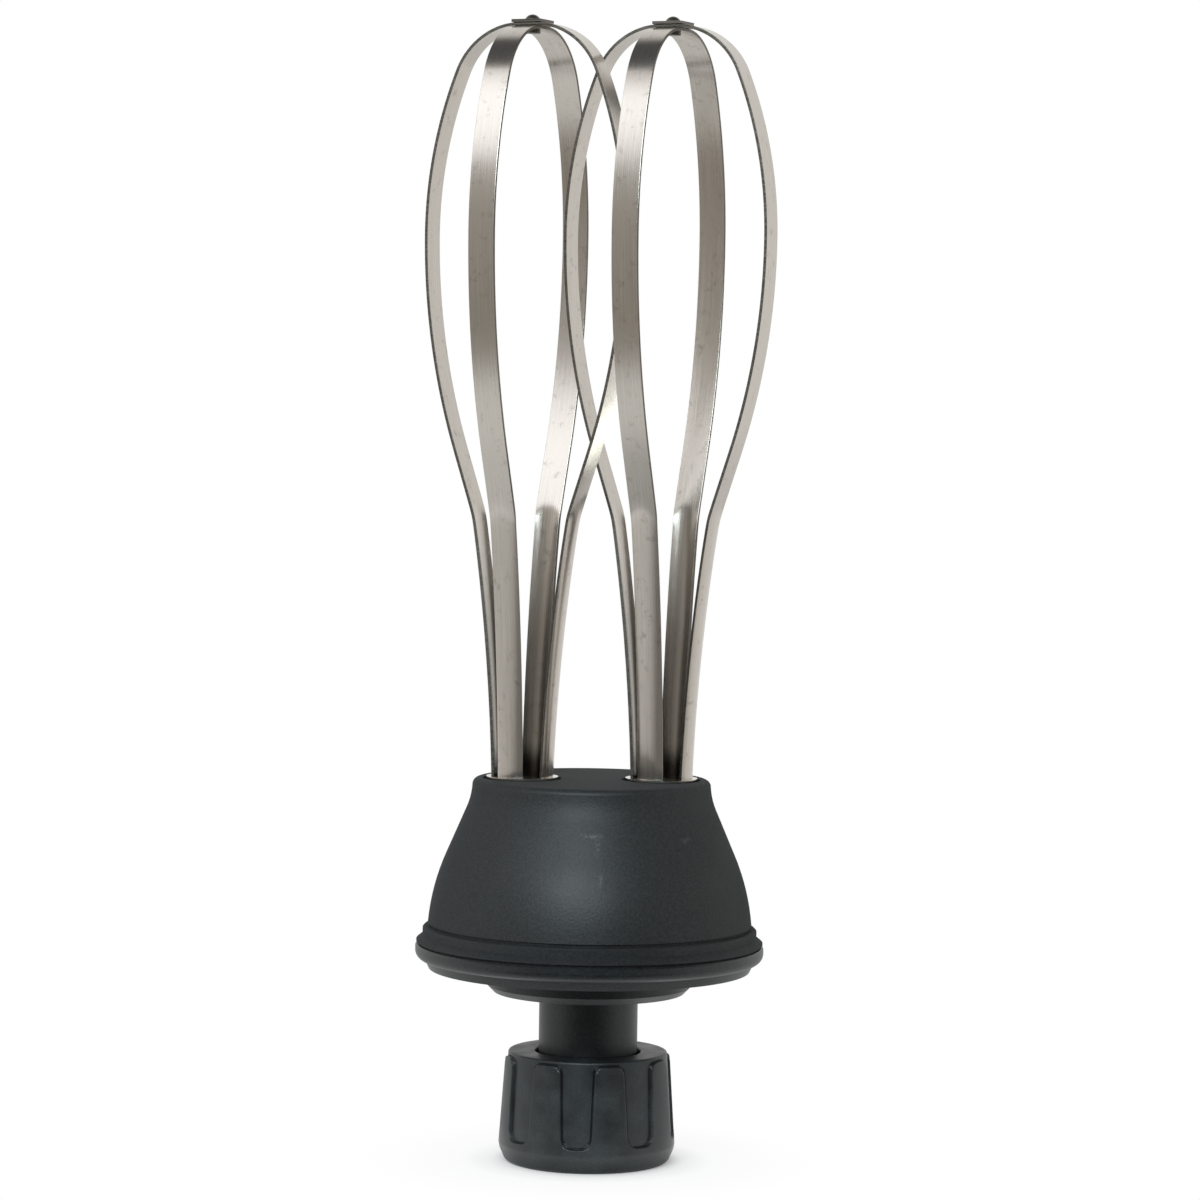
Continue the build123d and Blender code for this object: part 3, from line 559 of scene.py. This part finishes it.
# stage: white paper on a table in a pale room, a soft key at the left and a broad softbox above the camera
stage = {
    "floorRings": [50.0, 120.0, 250.0, 570.0], "floorSteps": 64, "floorShift": (-60.0, 170.0),   # mm
    "floorColour": "#efeeec",
    "whiteFrom": [(17.5, 0.25), (21.0, 0.66), (27.0, 0.9), (50.0, 1.0)],   # mm from the axis, share of white
    "floorInMetal": 0.55,   # share of that white which gloss sees
    "ringGlow": 1.3, "glowRing": [(19.0, 0.0), (27.0, 1.0), (34.0, 1.0), (48.0, 0.0)],   # mm, light from below
    # painted dark reflection: a dark patch of floor in front of the nut, which only gloss sees
    "reflectedDark": "#1a1a1a", "reflectedDarkKeep": 0.9,
    "reflectedDarkSide": (220.0, 100.0), "reflectedDarkFront": (-45.0, -90.0),   # mm, where its soft edges begin and end
    "walls": [   # from the camera's side round to the backdrop, by how far a ray points to the back
        (0.0, "#47484a"), (0.065, "#5c5c5c"), (0.13, "#9c9893"), (0.19, "#aeaaa4"), (0.3, "#dcd9d5"),
        (0.5, "#e4e2df"), (0.75, "#f6f6f5"),
    ],
    "zones": [   # colour, then the soft limits in height and depth of the ray: ceiling and table
        ("#57585a", (0.66, 0.78), (0.62, 0.34)),
        ("#a09b95", (-0.02, -0.2), (0.25, -0.1)),
    ],
    "lampAim": (0.0, 0.0, 0.13),
    "lamps": {   # turn from the camera and rise in degrees, distance and size in metres
        "keySoftbox": {"turn": -67.0, "rise": 34.5, "distance": 1.0, "size": (0.58, 0.36), "glow": 1.65,
                       "colour": "#f0f5ff"},
        "topSoftbox": {"turn": -12.0, "rise": 30.0, "distance": 1.0, "size": (0.72, 0.42), "glow": 8.8,
                       "colour": "#ebf9ff"},
    },
}


# matt white paper: plain white to the camera, with its own soft shadow close to the nut
def whitePaper():
    material, tree = startMaterial("matt_white_paper")
    place = addNode(tree, "ShaderNodeTexCoord")
    away = addNode(tree, "ShaderNodeVectorMath", {"operation": "LENGTH"}, {0: place.outputs["Object"]})
    outer = stage["whiteFrom"][-1][0]
    part = addNode(tree, "ShaderNodeMath", {"operation": "DIVIDE", 1: outer * mm}, {0: away.outputs["Value"]})
    fade = setRamp(addNode(tree, "ShaderNodeValToRGB", links={"Fac": part.outputs[0]}),
                   [(r / outer, (w, w, w, 1)) for r, w in stage["whiteFrom"]])
    rays = addNode(tree, "ShaderNodeLightPath")
    mirrored = addNode(tree, "ShaderNodeMath", {"operation": "MULTIPLY", 1: stage["floorInMetal"]},
                       {0: rays.outputs["Is Glossy Ray"]})
    looked = addNode(tree, "ShaderNodeMath", {"operation": "MAXIMUM"},
                     {0: rays.outputs["Is Camera Ray"], 1: mirrored.outputs[0]})
    seen = addNode(tree, "ShaderNodeMath", {"operation": "MULTIPLY"},
                   {0: fade.outputs[0], 1: looked.outputs[0]})
    paper = addNode(tree, "ShaderNodeBsdfDiffuse", {"Color": hexColour(stage["floorColour"])})
    white = addNode(tree, "ShaderNodeEmission", {"Color": (1, 1, 1, 1), "Strength": 1.0})
    reach = stage["glowRing"][-1][0]
    inRing = addNode(tree, "ShaderNodeMath", {"operation": "DIVIDE", 1: reach * mm},
                     {0: away.outputs["Value"]})
    lit = setRamp(addNode(tree, "ShaderNodeValToRGB", links={"Fac": inRing.outputs[0]}),
                  [(r / reach, (w, w, w, 1)) for r, w in stage["glowRing"]])
    unseen = addNode(tree, "ShaderNodeMath", {
        "operation": "MULTIPLY_ADD", 1: -stage["ringGlow"], 2: stage["ringGlow"]},
        {0: rays.outputs["Is Camera Ray"]})
    below = addNode(tree, "ShaderNodeMath", {"operation": "MULTIPLY"},
                    {0: lit.outputs[0], 1: unseen.outputs[0]})
    ring = addNode(tree, "ShaderNodeEmission", links={"Strength": below.outputs[0]})   # painted glow: the paper round the nut emits light, unseen by the camera, though no lamp is there
    glowing = addNode(tree, "ShaderNodeAddShader", links={0: paper.outputs[0], 1: ring.outputs[0]})
    surface = addNode(tree, "ShaderNodeMixShader",
                      links={0: seen.outputs[0], 1: glowing.outputs[0], 2: white.outputs[0]})
    spot = addNode(tree, "ShaderNodeSeparateXYZ", links={0: place.outputs["Object"]})
    aside = addNode(tree, "ShaderNodeMath", {"operation": "ABSOLUTE"}, {0: spot.outputs["X"]})
    sideOut, sideIn = stage["reflectedDarkSide"]
    wide = addNode(tree, "ShaderNodeMapRange", {
        "interpolation_type": "SMOOTHSTEP", "From Min": sideOut * mm, "From Max": sideIn * mm},
        {"Value": aside.outputs[0]})
    frontFrom, frontTo = stage["reflectedDarkFront"]
    ahead = addNode(tree, "ShaderNodeMapRange", {
        "interpolation_type": "SMOOTHSTEP", "From Min": frontFrom * mm, "From Max": frontTo * mm,
        "To Max": stage["reflectedDarkKeep"]}, {"Value": spot.outputs["Y"]})
    reflectedDark = addNode(tree, "ShaderNodeMath", {"operation": "MULTIPLY"},
                   {0: wide.outputs[0], 1: ahead.outputs[0]})
    hidden = addNode(tree, "ShaderNodeMath", {"operation": "MULTIPLY"},
                     {0: reflectedDark.outputs[0], 1: rays.outputs["Is Glossy Ray"]})
    reflectedDarkShader = addNode(tree, "ShaderNodeBsdfDiffuse", {"Color": hexColour(stage["reflectedDark"])})   # painted dark reflection: a dark floor patch seen in gloss only
    withReflectedDark = addNode(tree, "ShaderNodeMixShader",
                     links={0: hidden.outputs[0], 1: surface.outputs[0], 2: reflectedDarkShader.outputs[0]})
    side = addNode(tree, "ShaderNodeNewGeometry")
    clear = addNode(tree, "ShaderNodeBsdfTransparent")   # seen through from below, to look at the underside
    endMaterial(tree, addNode(tree, "ShaderNodeMixShader", links={
        0: side.outputs["Backfacing"], 1: withReflectedDark.outputs[0], 2: clear.outputs[0]}))
    return material


def floorDisc():
    steps = stage["floorSteps"]
    shiftX, shiftY = stage["floorShift"]
    points = [(0, 0, 0)]
    faces = []
    for k, r in enumerate(stage["floorRings"]):
        pull = r / stage["floorRings"][-1]   # the outer rings drift to the back
        for i in range(steps):
            a = 2 * math.pi * i / steps
            points.append((r * math.cos(a) + pull * shiftX, r * math.sin(a) + pull * shiftY, 0))
        here = 1 + k * steps
        for i in range(steps):
            nextStep = (i + 1) % steps
            if k == 0:
                faces.append((0, here + i, here + nextStep))
            else:
                faces.append((here - steps + i, here + i, here + nextStep, here - steps + nextStep))
    floor = makePiece("floor", points, faces, whitePaper())


def studioWorld():
    world = bpy.data.worlds.new("studio")
    scene.world = world
    world.use_nodes = True
    tree = world.node_tree
    tree.nodes.clear()
    ray = addNode(tree, "ShaderNodeTexCoord")
    parts = addNode(tree, "ShaderNodeSeparateXYZ", links={0: ray.outputs["Generated"]})
    depth = addNode(tree, "ShaderNodeMapRange", {"From Min": -1.0, "From Max": 1.0},
                    {"Value": parts.outputs["Y"]})
    walls = setRamp(addNode(tree, "ShaderNodeValToRGB", links={"Fac": depth.outputs[0]}),
                    [(back, hexColour(colour)) for back, colour in stage["walls"]])
    room = walls.outputs[0]
    for colour, heightSpan, depthSpan in stage["zones"]:
        limits = []
        for axis, (start, full) in (("Z", heightSpan), ("Y", depthSpan)):
            limits.append(addNode(tree, "ShaderNodeMapRange", {
                "interpolation_type": "SMOOTHSTEP", "From Min": start, "From Max": full},
                {"Value": parts.outputs[axis]}))
        both = addNode(tree, "ShaderNodeMath", {"operation": "MULTIPLY"},
                       {0: limits[0].outputs[0], 1: limits[1].outputs[0]})
        zone = addNode(tree, "ShaderNodeMix", {"data_type": "RGBA", 7: hexColour(colour)},
                       {0: both.outputs[0], 6: room})
        room = zone.outputs[2]
    rays = addNode(tree, "ShaderNodeLightPath")
    shown = addNode(tree, "ShaderNodeMix", {"data_type": "RGBA", 7: (1, 1, 1, 1)},
                    {0: rays.outputs["Is Camera Ray"], 6: room})   # plain white behind the object
    sky = addNode(tree, "ShaderNodeBackground", {"Strength": 1.0}, {"Color": shown.outputs[2]})
    addNode(tree, "ShaderNodeOutputWorld", links={"Surface": sky.outputs[0]})


def softbox(name, look):
    lamp = bpy.data.lights.new(name, "AREA")
    lamp.shape = "RECTANGLE"
    wide, high = look["size"]
    lamp.size, lamp.size_y = wide, high
    lamp.energy = look["glow"] * math.pi * wide * high   # watts that make its face shine at this level
    lamp.color = hexColour(look["colour"])[:3]
    holder = bpy.data.objects.new(name, lamp)
    scene.collection.objects.link(holder)
    turn, rise = math.radians(look["turn"]), math.radians(look["rise"])
    aim = Vector(stage["lampAim"])
    away = Vector((math.sin(turn) * math.cos(rise), -math.cos(turn) * math.cos(rise), math.sin(rise)))
    holder.location = aim + look["distance"] * away
    holder.rotation_euler = (aim - holder.location).to_track_quat("-Z", "Y").to_euler()


floorDisc()
studioWorld()
for lampName, lampLook in stage["lamps"].items():
    softbox(lampName, lampLook)
print("stage lit")


# camera: long lens, a little above the middle of the object, rolled as the photograph is; metres and degrees
view = {
    "place": (0.0012, -0.9, 0.1694), "aim": (0.0012, 0.0, 0.1214), "angle": 16.3, "roll": 0.85, "clip": 0.01,
}
lens = bpy.data.cameras.new("camera")
lens.angle = math.radians(view["angle"])
lens.clip_start = view["clip"]
camera = bpy.data.objects.new("camera", lens)
scene.collection.objects.link(camera)
camera.location = view["place"]
facing = (Vector(view["aim"]) - camera.location).to_track_quat("-Z", "Y")
camera.rotation_euler = (facing @ Quaternion((0, 0, 1), math.radians(view["roll"]))).to_euler()
scene.camera = camera
scene.view_settings.view_transform = "Standard"
print("camera set")
